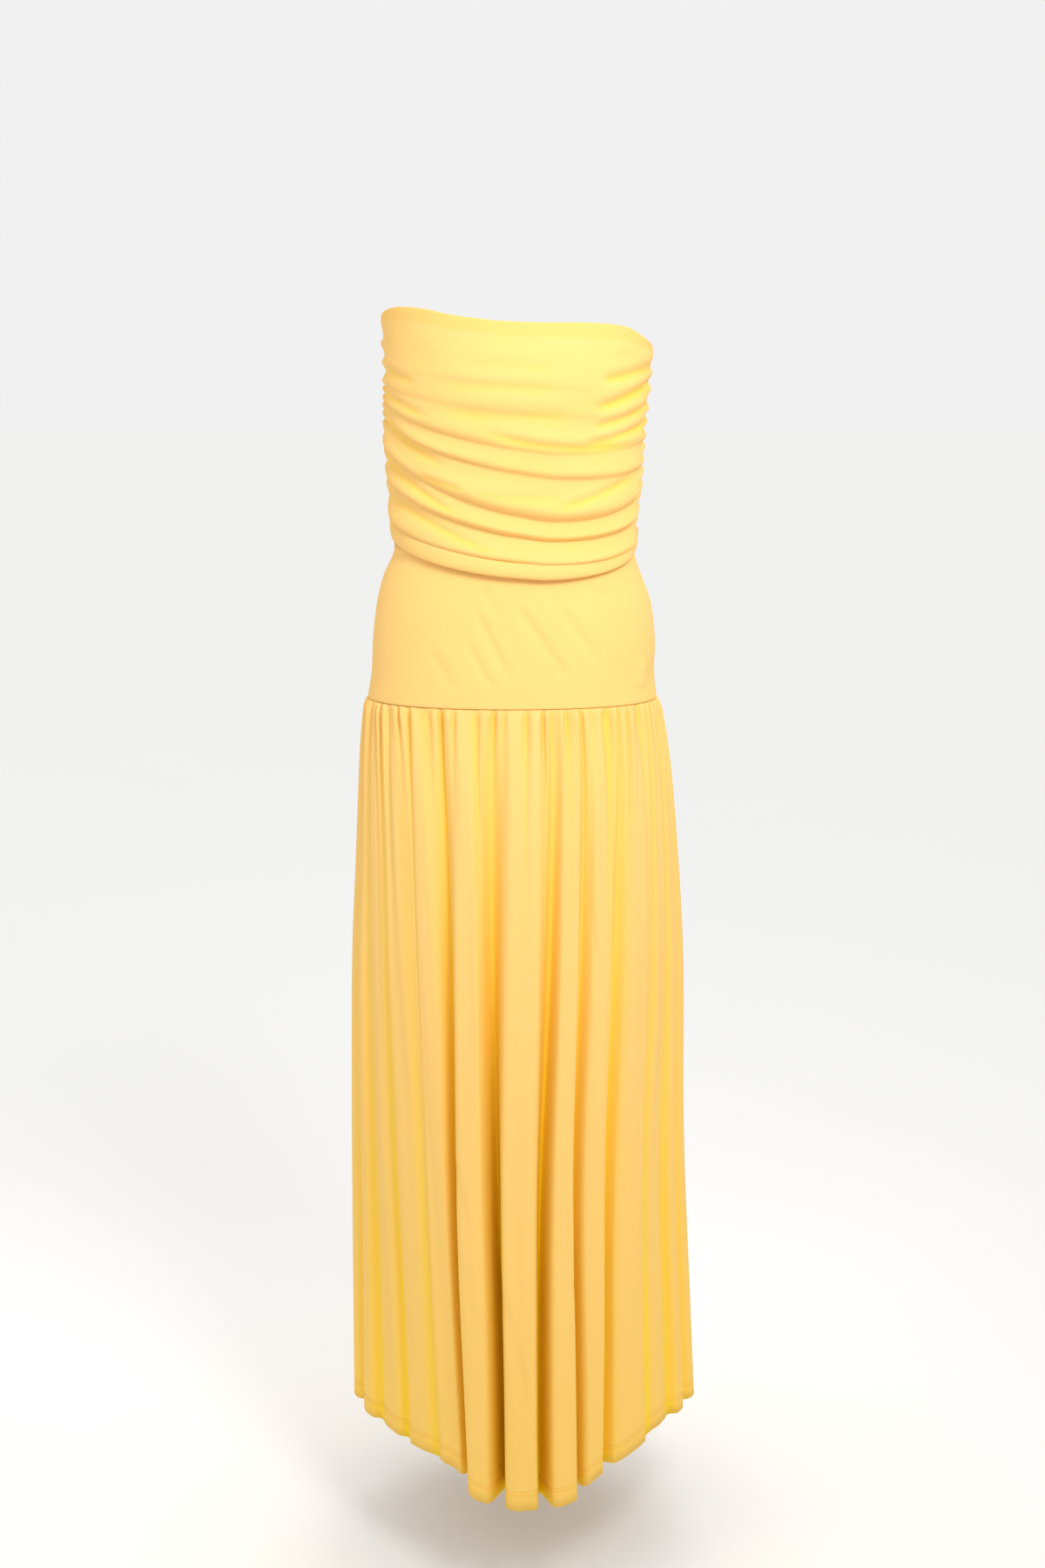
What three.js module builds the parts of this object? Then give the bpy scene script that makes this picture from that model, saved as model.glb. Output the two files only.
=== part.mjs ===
// A strapless maxi dress of soft jersey, in the hollow form that it has when it is worn.
// A bodice ruched into both side seams blouses over a fitted hip yoke, and a long skirt is
// gathered on to the yoke and falls in organ-pipe folds. Every piece is a thin wall of cloth.
//
// Millimetres. The front faces -Y, +X is on the right of someone facing the front, +Z is up.
// The origin is on the dress's upright axis, level with the middle of the front's top edge.

import * as THREE from "three";

// ---------------------------------------------------------------- driving sizes

const WALL = 1.6; // thickness of the cloth
const SEAM_GAP = 0.3; // what parts two pieces along their seam
const WAIST_LEVEL = -243; // the seam of bodice and yoke, hidden behind the blousing
const HIP_LEVEL = -412; // the seam of yoke and skirt

// Level rings of the worn form: half width, where its middle lies across, how far it
// reaches in front of and behind the axis, and the exponent of its outline, which is 2 for
// an ellipse, more for a squarer ring and less for one that comes to a point in front. On
// the skirt the rings run along the folds' crests.
const FORM = [
  { z: 30, half: 150.5, middle: 3.2, front: 107, back: 99, square: 2.2 },
  { z: 0, half: 149, middle: 3, front: 110, back: 100, square: 2.2 },
  { z: -60, half: 146.5, middle: 2.2, front: 117, back: 98, square: 2.2 },
  { z: -122, half: 143, middle: -0.6, front: 108, back: 92, square: 2.2 },
  { z: -170, half: 139.5, middle: -0.4, front: 100, back: 88, square: 2.2 },
  { z: -218, half: 133.5, middle: -1.2, front: 92, back: 84, square: 2.2 },
  { z: -249, half: 133.5, middle: -1.6, front: 90, back: 85, square: 2.2 },
  { z: -276, half: 143.5, middle: -3.2, front: 94, back: 91, square: 2.2 },
  { z: -305, half: 152.4, middle: -1.6, front: 100, back: 98, square: 2.2 },
  { z: -345, half: 157.7, middle: -1.4, front: 106, back: 108, square: 2.2 },
  { z: -385, half: 159, middle: -2.8, front: 111, back: 115, square: 2.2 },
  { z: -412, half: 162.5, middle: -3.6, front: 114, back: 118, square: 2.2 },
  { z: -463, half: 171.7, middle: -1.4, front: 126, back: 128, square: 2.17 },
  { z: -513, half: 177.4, middle: 0.3, front: 137, back: 138, square: 2.13 },
  { z: -614, half: 184.7, middle: 2, front: 154, back: 152, square: 2.05 },
  { z: -716, half: 190, middle: 2.5, front: 172, back: 166, square: 1.98 },
  { z: -925, half: 193, middle: 2.7, front: 202, back: 186, square: 1.88 },
  { z: -1138, half: 198.5, middle: 7.4, front: 228, back: 202, square: 1.79 },
  { z: -1290, half: 202.5, middle: 11, front: 242, back: 212, square: 1.74 },
];

// The top edge's level, by degrees round from the left side seam over the front.
const TOP_EDGE = [
  { at: 0, z: 8 },
  { at: 29, z: 16 },
  { at: 49, z: 14 },
  { at: 65, z: 7 },
  { at: 90, z: 0 },
  { at: 120, z: -1 },
  { at: 140, z: -5 },
  { at: 157, z: -16 },
  { at: 180, z: -25 },
  { at: 225, z: -14 },
  { at: 270, z: -9 },
  { at: 325, z: -2 },
  { at: 360, z: 8 },
];

// The hem's level, likewise. It dips at the middle of the front.
const HEM_EDGE = [
  { at: 0, z: -1243 },
  { at: 40, z: -1240 },
  { at: 62, z: -1244 },
  { at: 73, z: -1267 },
  { at: 90, z: -1272 },
  { at: 107, z: -1270 },
  { at: 118, z: -1254 },
  { at: 132, z: -1244 },
  { at: 150, z: -1238 },
  { at: 180, z: -1245 },
  { at: 225, z: -1247 },
  { at: 270, z: -1252 },
  { at: 315, z: -1246 },
  { at: 360, z: -1243 },
];

// Creases across the bodice, from the top down. Each sags from its levels at the two side
// seams to a lowest level in the middle of the front, and in the middle of the back. Above
// a crease the cloth rolls out by frontRoll or backRoll and it tucks in at the crease.
// hang is the share of the blousing there. waves is how many gathers it has at a side seam.
const CREASES = [
  {
    left: -18, front: -47, right: -51, back: -38,
    frontRoll: 1.2, backRoll: 1, tuck: 0.3, hang: 0, waves: 1,
  },
  {
    left: -41, front: -68, right: -70, back: -62,
    frontRoll: 1.5, backRoll: 1.4, tuck: 0.4, hang: 0, waves: 1,
  },
  {
    left: -62, front: -98, right: -93, back: -90,
    frontRoll: 2, backRoll: 2, tuck: 0.6, hang: 0, waves: 1,
  },
  {
    left: -80, front: -136, right: -122, back: -122,
    frontRoll: 4, backRoll: 3, tuck: 1, hang: 0, waves: 2,
  },
  {
    left: -98, front: -161, right: -150, back: -151,
    frontRoll: 4.5, backRoll: 4, tuck: 1.5, hang: 0, waves: 2,
  },
  {
    left: -127, front: -207, right: -178, back: -188,
    frontRoll: 8, backRoll: 6, tuck: 2, hang: 0.12, waves: 2,
  },
  {
    left: -165, front: -229, right: -205, back: -216,
    frontRoll: 6, backRoll: 5, tuck: 2.5, hang: 0.35, waves: 2,
  },
  {
    left: -211, front: -256, right: -235, back: -246,
    frontRoll: 7, backRoll: 5, tuck: 0.5, hang: 1, waves: 2,
  },
];
const LOWEST_SHARE = 0.57; // where across the front a crease hangs lowest
const SAG_POWER = 1.3; // 1 sags to a point, 2 to a round curve
const SIDE_GATHER = 1.7; // rise of the gathers at the side seams
const SIDE_GATHER_REACH = 0.16; // share of the half turn over which they fade

// The blousing: the level of its lowest fold and how far that stands proud of the yoke.
const BLOUSE_LEVEL = { left: -257, front: -273, right: -266, back: -268 };
const BLOUSE_PROUD = { front: 10, back: 8, side: 5.2 };

// The rows of a roll above its crease: share of the way down to it, and share of its rise.
const SOFT_ROLL = [
  { down: 0.55, rise: 1 },
  { down: 1, rise: 0 },
];
const FULL_ROLL = [
  { down: 0.3, rise: 0.55 },
  { down: 0.7, rise: 1 },
  { down: 0.92, rise: 0.75 },
  { down: 1, rise: 0 },
];

// The turned-under end of the blousing: mm above its lowest level, and share of its proud.
const TURN_UNDER = [
  { up: 8, proud: 1.25 },
  { up: 0, proud: 0.55 },
  { up: 7, proud: 0.2 },
];

// The skirt's valleys, in degrees round from a panel's first side seam: where each starts
// at the hip seam, where it ends at the hem, how deep it is there, how far the crest of
// the fold before it then stands proud of the form, and how many gathers run into that fold.
const FRONT_VALLEYS = [
  { hip: 9, hem: 12, depth: 30, crest: 0, gathers: 2 },
  { hip: 19, hem: 26, depth: 38, crest: -6, gathers: 2 },
  { hip: 29, hem: 41, depth: 36, crest: -20, gathers: 2 },
  { hip: 40, hem: 56, depth: 24, crest: -14, gathers: 2 },
  { hip: 63, hem: 67, depth: 55, crest: -8, gathers: 3 },
  { hip: 84, hem: 78, depth: 76, crest: 6, gathers: 3 },
  { hip: 105, hem: 100, depth: 50, crest: 8, gathers: 4 },
  { hip: 115, hem: 112, depth: 48, crest: 6, gathers: 2 },
  { hip: 134, hem: 122, depth: 44, crest: -4, gathers: 3 },
  { hip: 153, hem: 142, depth: 34, crest: -8, gathers: 3 },
  { hip: 163, hem: 156, depth: 34, crest: -22, gathers: 2 },
  { hip: 172, hem: 169, depth: 28, crest: -8, gathers: 2 },
];
const BACK_VALLEYS = [
  { hip: 9, hem: 12, depth: 28, crest: 0, gathers: 2 },
  { hip: 20, hem: 25, depth: 36, crest: -8, gathers: 2 },
  { hip: 32, hem: 39, depth: 42, crest: 4, gathers: 2 },
  { hip: 47, hem: 53, depth: 48, crest: -10, gathers: 3 },
  { hip: 66, hem: 69, depth: 40, crest: 6, gathers: 3 },
  { hip: 83, hem: 84, depth: 56, crest: -6, gathers: 3 },
  { hip: 101, hem: 98, depth: 46, crest: 8, gathers: 3 },
  { hip: 118, hem: 113, depth: 52, crest: -4, gathers: 3 },
  { hip: 136, hem: 129, depth: 44, crest: 5, gathers: 3 },
  { hip: 150, hem: 143, depth: 36, crest: -12, gathers: 2 },
  { hip: 162, hem: 156, depth: 38, crest: 4, gathers: 2 },
  { hip: 172, hem: 168, depth: 30, crest: -8, gathers: 2 },
];
const LAST_GATHERS = 2; // gathers between the last valley and the second side seam
const SIDE_CREST = 0; // how far the crests at the side seams stand proud of the form
const COLUMNS_PER_GATHER = 4;
const FULL_DEPTH_SHARE = 0.75; // how far down the skirt a valley reaches its full depth
const DEPTH_POWER = 0.75; // below 1, the folds open soon after the hip seam
const DRIFT_POWER = 0.5; // below 1, a valley drifts sideways mostly near the hip
const CREST_BREADTH = 0.45; // how much broader a crest is than a valley
const FOLD_SQUARENESS = 0.6; // how upright the sides of a fold are
const GATHER_RISE = 3.4; // half height of the gathers below the hip seam
const GATHER_PINCH = 0.45; // the share of it that is left in the seam itself
const GATHER_SWELL = 10; // mm below the seam where the pinch ends
const GATHER_FADE = 70; // mm over which the gathers run out into the folds
const SKIRT_ROWS = [0, 0.01, 0.03, 0.065, 0.13, 0.27, 0.5, 0.75, 1]; // shares of its length

const BODY_COLUMNS = { front: 24, back: 18 }; // of the bodice, and of the yoke against it
const YOKE_ROWS = [0, 0.05, 0.1, 0.17, 0.28, 0.5, 0.75, 1]; // shares of its height

const THINNEST_BEND = 0.8; // at a sharp bend the wall grows no thicker than WALL over this

// ---------------------------------------------------------------- number helpers

const mix = (a, b, share) => a + (b - a) * share;
const clamp = (value) => Math.min(1, Math.max(0, value));
const smooth = (value) => clamp(value) ** 2 * (3 - 2 * clamp(value));

// A column of a table at any place along its key column, as a smooth curve.
function lookUp(table, key, column, place) {
  const rising = table[1][key] > table[0][key];
  let i = 0;
  while (i < table.length - 2 && (rising ? place > table[i + 1][key] : place < table[i + 1][key])) i += 1;
  const slope = (j) => {
    const before = table[Math.max(0, j - 1)];
    const after = table[Math.min(table.length - 1, j + 1)];
    return (after[column] - before[column]) / (after[key] - before[key]);
  };
  const span = table[i + 1][key] - table[i][key];
  const t = clamp((place - table[i][key]) / span);
  return (
    (2 * t ** 3 - 3 * t ** 2 + 1) * table[i][column] +
    (t ** 3 - 2 * t ** 2 + t) * span * slope(i) +
    (3 * t ** 2 - 2 * t ** 3) * table[i + 1][column] +
    (t ** 3 - t ** 2) * span * slope(i + 1)
  );
}

// ---------------------------------------------------------------- the worn form

// A point on the form, moved out by proud. turn counts half turns: 0 is the left side
// seam, 0.5 the middle of the front, 1 the right side seam and 1.5 the middle of the back.
function onForm(z, turn, proud) {
  const across = Math.cos(Math.PI * turn);
  const forward = Math.sin(Math.PI * turn);
  const half = lookUp(FORM, "z", "half", z);
  const depth = lookUp(FORM, "z", forward > 0 ? "front" : "back", z);
  const place = 2 / lookUp(FORM, "z", "square", z);
  const shaped = (value, power) => Math.sign(value) * Math.abs(value) ** power;
  const point = new THREE.Vector3(-half * shaped(across, place), -depth * shaped(forward, place), z);
  point.x += lookUp(FORM, "z", "middle", z);
  const outward = new THREE.Vector3();
  outward.set(-shaped(across, 2 - place) / half, -shaped(forward, 2 - place) / depth, 0);
  return point.addScaledVector(outward.normalize(), proud);
}

// A value that differs at the front, the sides and the back, at a turn between them.
const roundValue = (value, turn) =>
  mix(value.side, turn < 1 ? value.front : value.back, Math.sin(Math.PI * turn) ** 2);

// The level of a line that sags between the side seams.
function sagging(line, turn) {
  const isFront = turn <= 1;
  const share = isFront ? turn : 2 - turn;
  const skewed = isFront ? share ** (Math.log(0.5) / Math.log(LOWEST_SHARE)) : share;
  const sag = 1 - Math.abs(2 * skewed - 1) ** SAG_POWER;
  const low = isFront ? line.front : line.back;
  return mix(line.left, line.right, share) + (low - (line.left + line.right) / 2) * sag;
}

// ---------------------------------------------------------------- cloth to solid

// Turns a grid of points on the outside of a cloth panel into a closed wall. A row runs
// from the panel's first side seam to its second, and the rows run from its top down.
function clothWall(grid) {
  const rows = grid.length;
  const columns = grid[0].length;
  const positions = [];
  const triangles = [];
  for (const row of grid) for (const point of row) positions.push(...point);

  for (let r = 0; r < rows; r += 1) {
    for (let c = 0; c < columns; c += 1) {
      const point = grid[r][c];
      const above = grid[Math.max(0, r - 1)][c];
      const below = grid[Math.min(rows - 1, r + 1)][c];
      const before = grid[r][Math.max(0, c - 1)];
      const after = grid[r][Math.min(columns - 1, c + 1)];
      const outward = below.clone().sub(above).cross(after.clone().sub(before));
      // Cut edges stay square: upright at the side seams and level at the top and bottom.
      if (c === 0 || c === columns - 1) outward.y = 0;
      if (r === 0 || r === rows - 1) outward.z = 0;
      outward.normalize();
      const bend = Math.min(straightness(above, point, below), straightness(before, point, after));
      const inner = point.clone().addScaledVector(outward, -WALL / Math.max(bend, THINNEST_BEND));
      positions.push(...inner);
    }
  }

  const outer = (r, c) => r * columns + c;
  const inner = (r, c) => rows * columns + r * columns + c;
  const quad = (a, b, c, d) => triangles.push(a, b, c, a, c, d);
  for (let r = 0; r < rows - 1; r += 1) {
    for (let c = 0; c < columns - 1; c += 1) {
      quad(outer(r, c), outer(r + 1, c), outer(r + 1, c + 1), outer(r, c + 1));
      quad(inner(r, c), inner(r, c + 1), inner(r + 1, c + 1), inner(r + 1, c));
    }
    const last = columns - 1;
    quad(outer(r, 0), inner(r, 0), inner(r + 1, 0), outer(r + 1, 0));
    quad(outer(r, last), outer(r + 1, last), inner(r + 1, last), inner(r, last));
  }
  for (let c = 0; c < columns - 1; c += 1) {
    const last = rows - 1;
    quad(outer(0, c), outer(0, c + 1), inner(0, c + 1), inner(0, c));
    quad(outer(last, c), inner(last, c), inner(last, c + 1), outer(last, c + 1));
  }

  const geometry = new THREE.BufferGeometry();
  geometry.setAttribute("position", new THREE.Float32BufferAttribute(positions, 3));
  geometry.setIndex(triangles);
  geometry.computeVertexNormals();
  return geometry;
}

// 1 where three points lie straight, less as they bend: the cosine of half the bend.
function straightness(before, point, after) {
  const arriving = point.clone().sub(before);
  const leaving = after.clone().sub(point);
  if (arriving.length() === 0 || leaving.length() === 0) return 1;
  return Math.sqrt(Math.max(0, (1 + arriving.normalize().dot(leaving.normalize())) / 2));
}

// Moves the first and last points of every row to their side of the side seams.
function partSideSeams(grid, side) {
  for (const row of grid) {
    row[0].y = side * (SEAM_GAP / 2);
    row[row.length - 1].y = side * (SEAM_GAP / 2);
  }
  return grid;
}

const PANELS = {
  front: {
    firstTurn: 0, lastTurn: 1, ySide: -1,
    columns: BODY_COLUMNS.front, valleys: FRONT_VALLEYS, roll: "frontRoll",
  },
  back: {
    firstTurn: 1, lastTurn: 2, ySide: 1,
    columns: BODY_COLUMNS.back, valleys: BACK_VALLEYS, roll: "backRoll",
  },
};

// The turns of a bodice or yoke panel's columns, from its first side seam to its second.
const turnsOf = (panel) =>
  Array.from({ length: panel.columns + 1 }, (_, c) =>
    mix(panel.firstTurn, panel.lastTurn, c / panel.columns));

// ---------------------------------------------------------------- bodice

function bodice(panel) {
  const turns = turnsOf(panel);
  const topEdge = (turn) => lookUp(TOP_EDGE, "at", "z", 180 * turn);
  const grid = [turns.map((turn) => onForm(topEdge(turn), turn, 0))];

  let upper = { level: topEdge, hang: 0, tuck: 0 };
  for (const crease of CREASES) {
    const lower = { level: (turn) => sagging(crease, turn), hang: crease.hang, tuck: crease.tuck };
    const roll = crease.waves === 1 ? SOFT_ROLL : FULL_ROLL;
    roll.forEach((step, k) => grid.push(turns.map((turn) => {
      const fromSide = Math.min(turn - panel.firstTurn, panel.lastTurn - turn);
      const clear = smooth(fromSide / SIDE_GATHER_REACH);
      const down = mix((k + 1) / roll.length, step.down, clear);
      const pucker = (k % 2 === 0 ? 1 : -1) * SIDE_GATHER * (1 - clear);
      const gather = pucker * (1 - mix(upper.hang, lower.hang, down));
      const rolled = (step.rise * crease[panel.roll] - mix(upper.tuck, lower.tuck, down)) * clear;
      const hang = mix(upper.hang, lower.hang, down) * roundValue(BLOUSE_PROUD, turn);
      return onForm(mix(upper.level(turn), lower.level(turn), down), turn, hang + gather + rolled);
    })));
    upper = lower;
  }

  for (const step of TURN_UNDER) {
    grid.push(turns.map((turn) =>
      onForm(sagging(BLOUSE_LEVEL, turn) + step.up, turn, step.proud * roundValue(BLOUSE_PROUD, turn))));
  }
  // It ends turned under, with the cloth's outside against the yoke's top.
  grid.push(turns.map((turn) => onForm(WAIST_LEVEL, turn, SEAM_GAP)));
  return clothWall(partSideSeams(grid, panel.ySide));
}

// ---------------------------------------------------------------- yoke

function yoke(panel) {
  const grid = YOKE_ROWS.map((share) => {
    const z = mix(WAIST_LEVEL, HIP_LEVEL + SEAM_GAP / 2, share);
    return turnsOf(panel).map((turn) => onForm(z, turn, 0));
  });
  return clothWall(partSideSeams(grid, panel.ySide));
}

// ---------------------------------------------------------------- skirt

// The folds of a panel, each from one valley to the next. The side seams lie on crests, so
// the first and last folds mirror their valley past the seam and only half of each is used.
function foldsOf(valleys) {
  const first = valleys[0];
  const last = valleys[valleys.length - 1];
  const beforeFirst = { ...first, hip: -first.hip, hem: -first.hem };
  const afterLast = {
    ...last, hip: 360 - last.hip, hem: 360 - last.hem,
    crest: SIDE_CREST, gathers: LAST_GATHERS,
  };
  const bounds = [beforeFirst, ...valleys, afterLast];
  return bounds.slice(1).map((to, i) => ({
    from: bounds[i],
    to,
    firstPhase: i === 0 ? 0.5 : 0,
    lastPhase: i === valleys.length ? 0.5 : 1,
    columns: to.gathers * COLUMNS_PER_GATHER,
  }));
}

// A point of the skirt: the share of its length, its fold, and the phase across the fold,
// which is 0 and 1 in the valleys and 0.5 on the crest.
function onSkirt(panel, share, fold, phase, columnIndex) {
  const drift = share ** DRIFT_POWER;
  const opened = clamp(share / FULL_DEPTH_SHARE) ** DEPTH_POWER;
  const angle = 2 * Math.PI * phase;
  const squared = (FOLD_SQUARENESS * Math.sin(2 * angle)) / (4 * Math.PI);
  const broadened = (CREST_BREADTH * Math.sin(angle)) / (2 * Math.PI);
  const across = phase + opened * (squared - broadened);
  const from = mix(fold.from.hip, fold.from.hem, drift);
  const to = mix(fold.to.hip, fold.to.hem, drift);
  const turn = panel.firstTurn + mix(from, to, across) / 180;

  const top = HIP_LEVEL - SEAM_GAP / 2;
  const z = mix(top, lookUp(HEM_EDGE, "at", "z", 180 * turn), share);
  const fallen = top - z;
  const depth = mix(fold.from.depth, fold.to.depth, smooth(phase));
  const valley = (1 + Math.cos(angle)) / 2;
  const folded = opened * (fold.to.crest * (1 - valley) - depth * valley);
  const gathered = mix(GATHER_PINCH, 1, clamp(fallen / GATHER_SWELL)) * Math.exp(-fallen / GATHER_FADE);
  const wave = -Math.cos((2 * Math.PI * columnIndex) / COLUMNS_PER_GATHER);
  return onForm(z, turn, GATHER_RISE * gathered * wave + folded);
}

function skirt(panel) {
  const folds = foldsOf(panel.valleys);
  const grid = SKIRT_ROWS.map((share) => {
    const row = [];
    folds.forEach((fold, i) => {
      for (let c = i === 0 ? 0 : 1; c <= fold.columns; c += 1) {
        const phase = mix(fold.firstPhase, fold.lastPhase, c / fold.columns);
        row.push(onSkirt(panel, share, fold, phase, row.length));
      }
    });
    return row;
  });
  return clothWall(partSideSeams(grid, panel.ySide));
}

// ---------------------------------------------------------------- the dress

const jersey = (color) =>
  new THREE.MeshStandardMaterial({ color, roughness: 0.92, metalness: 0, side: THREE.DoubleSide });

function piece(name, geometry, color) {
  const mesh = new THREE.Mesh(geometry, jersey(color));
  mesh.name = name;
  return mesh;
}

const dress = new THREE.Group();
dress.name = "strapless_maxi_dress";
dress.add(
  piece("bodice_front", bodice(PANELS.front), 0xfce597),
  piece("bodice_back", bodice(PANELS.back), 0xf8df8e),
  piece("yoke_front", yoke(PANELS.front), 0xfce08a),
  piece("yoke_back", yoke(PANELS.back), 0xf6da83),
  piece("skirt_front", skirt(PANELS.front), 0xfadb82),
  piece("skirt_back", skirt(PANELS.back), 0xf2d178),
);

export default dress;
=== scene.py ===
"""A strapless maxi dress of jersey in its worn form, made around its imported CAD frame.

Lengths in the tables are millimetres, as a pattern cutter gives them, and every mesh is in
metres. The front faces -Y, +X is on the right of someone facing it, and +Z is up. A turn
counts half turns round the dress: 0 is the left side seam, 0.5 the middle of the front,
1 the right side seam and 1.5 the middle of the back.
"""

import math

import bpy
import numpy as np
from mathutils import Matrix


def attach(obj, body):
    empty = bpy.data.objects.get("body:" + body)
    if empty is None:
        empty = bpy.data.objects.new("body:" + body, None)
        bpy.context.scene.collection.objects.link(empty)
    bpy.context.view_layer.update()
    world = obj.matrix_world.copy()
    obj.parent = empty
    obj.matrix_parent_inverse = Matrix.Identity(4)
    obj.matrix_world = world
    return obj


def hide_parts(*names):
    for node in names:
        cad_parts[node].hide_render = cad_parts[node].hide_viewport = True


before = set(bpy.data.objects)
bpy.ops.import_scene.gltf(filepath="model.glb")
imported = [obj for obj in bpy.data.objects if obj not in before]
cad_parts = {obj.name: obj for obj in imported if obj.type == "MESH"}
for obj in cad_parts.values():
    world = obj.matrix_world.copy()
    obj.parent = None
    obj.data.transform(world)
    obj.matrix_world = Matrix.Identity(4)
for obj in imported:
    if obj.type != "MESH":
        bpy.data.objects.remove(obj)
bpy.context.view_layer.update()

bl_info = {
    "name": "Strapless Maxi Dress",
    "version": (1, 0, 0),
    "blender": (4, 5, 0),
    "location": "3D View > Sidebar > Dress",
    "description": "Builds a ruched and gathered jersey dress around its packed frame",
    "category": "Object",
}

MM = 0.001
BODY = "root"

# ------------------------------------------------------------------ the worn form

# Level rings: half width, where the middle lies across, reach in front of and behind the
# axis, and the exponent of the outline. On the skirt they run along the folds' crests.
FORM = [
    dict(z=30, half=150.5, middle=3.2, front=107, back=99, square=2.2),
    dict(z=0, half=149, middle=3, front=110, back=100, square=2.2),
    dict(z=-60, half=146.5, middle=2.2, front=117, back=98, square=2.2),
    dict(z=-122, half=143, middle=-0.6, front=108, back=92, square=2.2),
    dict(z=-170, half=139.5, middle=-0.4, front=100, back=88, square=2.2),
    dict(z=-218, half=133.5, middle=-1.2, front=92, back=84, square=2.2),
    dict(z=-249, half=133.5, middle=-1.6, front=90, back=85, square=2.2),
    dict(z=-276, half=143.5, middle=-3.2, front=94, back=91, square=2.2),
    dict(z=-305, half=152.4, middle=-1.6, front=100, back=98, square=2.2),
    dict(z=-345, half=157.7, middle=-1.4, front=106, back=108, square=2.2),
    dict(z=-385, half=159, middle=-2.8, front=111, back=115, square=2.2),
    dict(z=-412, half=162.5, middle=-3.6, front=114, back=118, square=2.2),
    dict(z=-463, half=171.7, middle=-1.4, front=126, back=128, square=2.17),
    dict(z=-513, half=177.4, middle=0.3, front=137, back=138, square=2.13),
    dict(z=-614, half=184.7, middle=2, front=154, back=152, square=2.05),
    dict(z=-716, half=190, middle=2.5, front=172, back=166, square=1.98),
    dict(z=-925, half=193, middle=2.7, front=202, back=186, square=1.88),
    dict(z=-1138, half=198.5, middle=7.4, front=228, back=202, square=1.79),
    dict(z=-1290, half=202.5, middle=11, front=242, back=212, square=1.74),
]

# Levels of the top edge and the hem, by degrees round from the left side seam.
TOP_EDGE = [
    dict(at=0, z=8), dict(at=29, z=16), dict(at=49, z=14), dict(at=65, z=7),
    dict(at=90, z=0), dict(at=120, z=-1), dict(at=140, z=-5), dict(at=157, z=-16),
    dict(at=180, z=-25), dict(at=225, z=-14), dict(at=270, z=-9), dict(at=325, z=-2),
    dict(at=360, z=8),
]
HEM_EDGE = [
    dict(at=0, z=-1243), dict(at=40, z=-1240), dict(at=62, z=-1244), dict(at=73, z=-1267),
    dict(at=90, z=-1272), dict(at=107, z=-1270), dict(at=118, z=-1254), dict(at=132, z=-1244),
    dict(at=150, z=-1238), dict(at=180, z=-1245), dict(at=225, z=-1247), dict(at=270, z=-1252),
    dict(at=315, z=-1246), dict(at=360, z=-1243),
]
WAIST_LEVEL = -243
HIP_LEVEL = -412

# ------------------------------------------------------------------ the bodice's creases

# Each crease sags between its levels at the side seams to its level in the middle of the
# front and of the back. Then come, for each: how far the cloth above it stands out there,
# how far it sinks in itself, its share of the blousing, and its gathers at a side seam.
CREASE_LEVELS = [
    dict(left=-18, front=-47, right=-51, back=-38),
    dict(left=-41, front=-68, right=-70, back=-62),
    dict(left=-62, front=-98, right=-93, back=-90),
    dict(left=-80, front=-136, right=-122, back=-122),
    dict(left=-98, front=-161, right=-150, back=-151),
    dict(left=-127, front=-207, right=-178, back=-188),
    dict(left=-165, front=-229, right=-205, back=-216),
    dict(left=-211, front=-256, right=-235, back=-246),
]
CREASE_ROLLS = [
    dict(front_roll=0.25, back_roll=0.6, tuck=0.1, hang=0, waves=1),
    dict(front_roll=0.3, back_roll=0.8, tuck=0.15, hang=0, waves=1),
    dict(front_roll=0.8, back_roll=1.2, tuck=0.3, hang=0, waves=1),
    dict(front_roll=3.2, back_roll=3, tuck=1, hang=0, waves=2),
    dict(front_roll=3.6, back_roll=4, tuck=1.5, hang=0, waves=2),
    dict(front_roll=7, back_roll=6, tuck=2, hang=0.12, waves=2),
    dict(front_roll=6.5, back_roll=5, tuck=2.5, hang=0.35, waves=2),
    dict(front_roll=7, back_roll=5, tuck=0.8, hang=1, waves=2),
]
LOWEST_SHARE = 0.57  # where across the front a crease hangs lowest
SAG_POWER = 1.55  # 1 sags to a point, 2 to a round curve
ROLL_LEAN = 2.1  # above 1, a roll is fullest low down, just above its crease
ROLL_FULLNESS = 0.8  # below 1, a roll is fuller and its crease sharper
SIDE_GATHER = 2.2  # rise of the gathers at the side seams
SIDE_GATHER_REACH = 0.12  # share of the half turn over which they fade
GATHERS_HUNG = 0.7  # how much of that rise is lost where the cloth blouses
BLOUSE_LEVEL = dict(left=-232, front=-273, right=-240, back=-262)
BLOUSE_PROUD = dict(front=10, back=8, side=4)
TURN_UNDER = [  # steps round the lowest fold: mm above it, and share of the blousing
    dict(step=0, up=17, proud=1.16),
    dict(step=1, up=9, proud=1.26),
    dict(step=2, up=3, proud=1.12),
    dict(step=3, up=0, proud=0.78),
    dict(step=4, up=2.5, proud=0.42),
    dict(step=5, up=9, proud=0.28),
]
TOP_TURNING = 14  # depth of the cloth turned in at the top edge
TOP_TURNING_GAP = 3  # from its outside to the bodice's
TOP_ROUNDING = 1.5  # half of that, as the edge's radius
BODICE_WRINKLE = 0.35  # height of the cloth's own small unevenness
STROKE_TAPER = 0.25  # share of a single crease over which each end runs out
LIP_HEIGHT = 0.45  # the soft ridge beside it, as a share of its depth

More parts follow.
